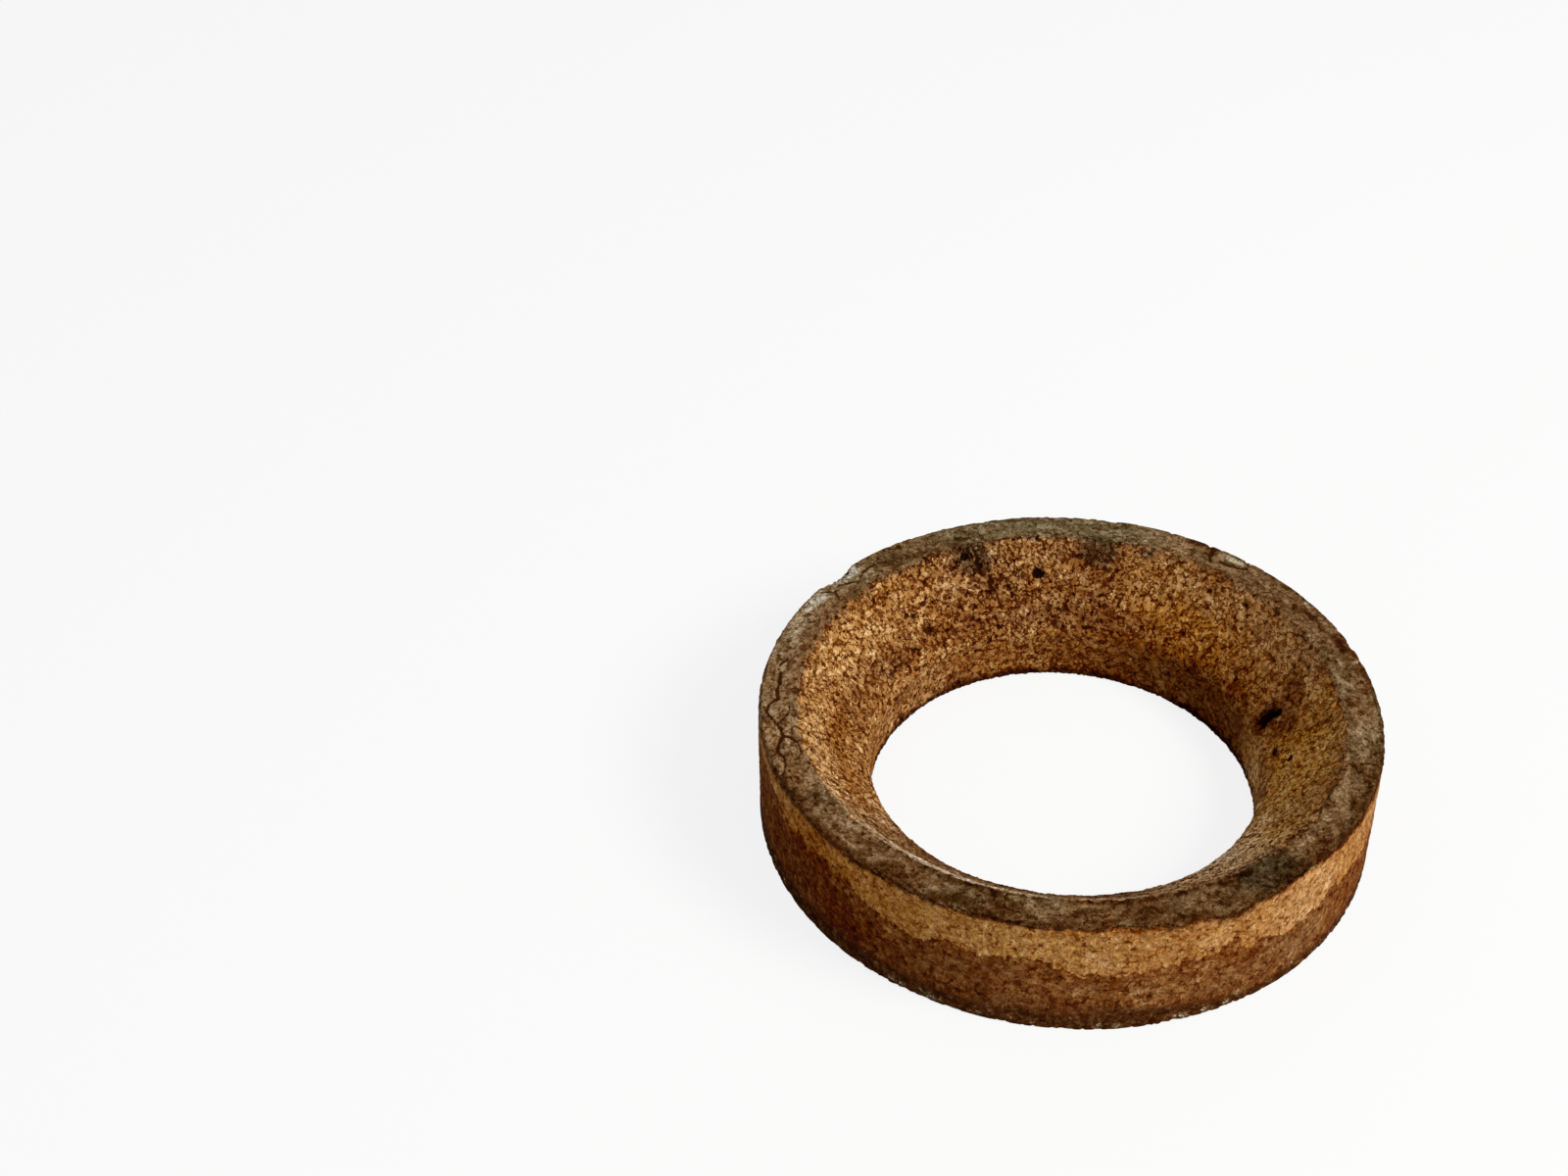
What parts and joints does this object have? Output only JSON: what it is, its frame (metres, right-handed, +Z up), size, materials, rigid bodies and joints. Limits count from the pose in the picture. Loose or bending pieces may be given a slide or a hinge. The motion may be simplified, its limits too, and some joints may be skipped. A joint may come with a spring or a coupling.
{
  "type": "cork ring",
  "caption": "Ring of pressed cork granules with a sloping seat and a central hole, which stands a round-bottomed flask upright on a bench.",
  "frame": {"origin": "centre of the flat bottom face", "axes": "+Z up along the hole's axis, towards the rim; +X towards the gouged side of the seat"},
  "size_m": [0.14, 0.14, 0.03],
  "materials": {
    "cork": "pressed cork granules, rubbed and stained"
  },
  "bodies": {
    "root": {"cork_ring": "cork"}
  },
  "joints": []
}
